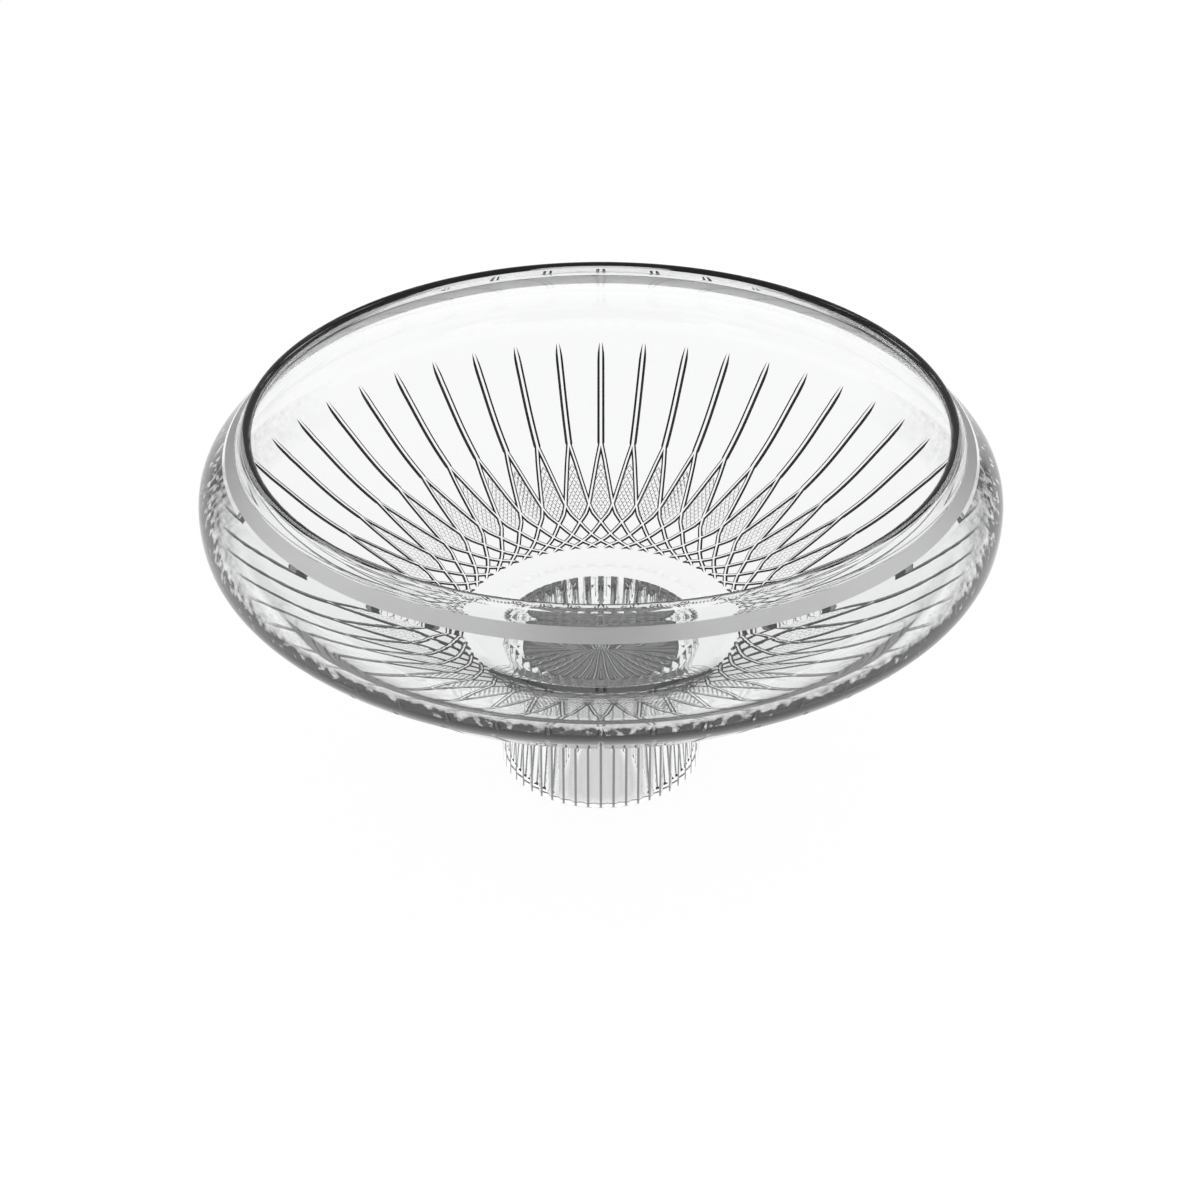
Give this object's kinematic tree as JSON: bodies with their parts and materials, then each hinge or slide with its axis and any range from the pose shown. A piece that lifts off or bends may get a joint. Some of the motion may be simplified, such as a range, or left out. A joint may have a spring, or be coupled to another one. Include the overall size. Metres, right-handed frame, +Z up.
{
  "type": "punch bowl",
  "caption": "Wide crystal punch bowl with a flared collar, round belly and radial mitre cuts, bonded on a fluted drum foot with a star under it.",
  "frame": {"origin": "middle of the face that the foot stands on", "axes": "+Z up along the bowl's axis of symmetry; the bowl is the same all round, so the front is any of its cuts: -Y and +Y each run through a long cut, and +X and -X each run between two"},
  "size_m": [0.356, 0.356, 0.18],
  "materials": {
    "clear_crystal": "fire-polished clear lead crystal, sharp polished mitre cuts on the outside",
    "cut_crystal": "clear lead crystal with polished vertical flutes and a star cut in the recessed base"
  },
  "bodies": {
    "root": {"bowl": "clear_crystal", "foot": "cut_crystal"}
  },
  "joints": []
}
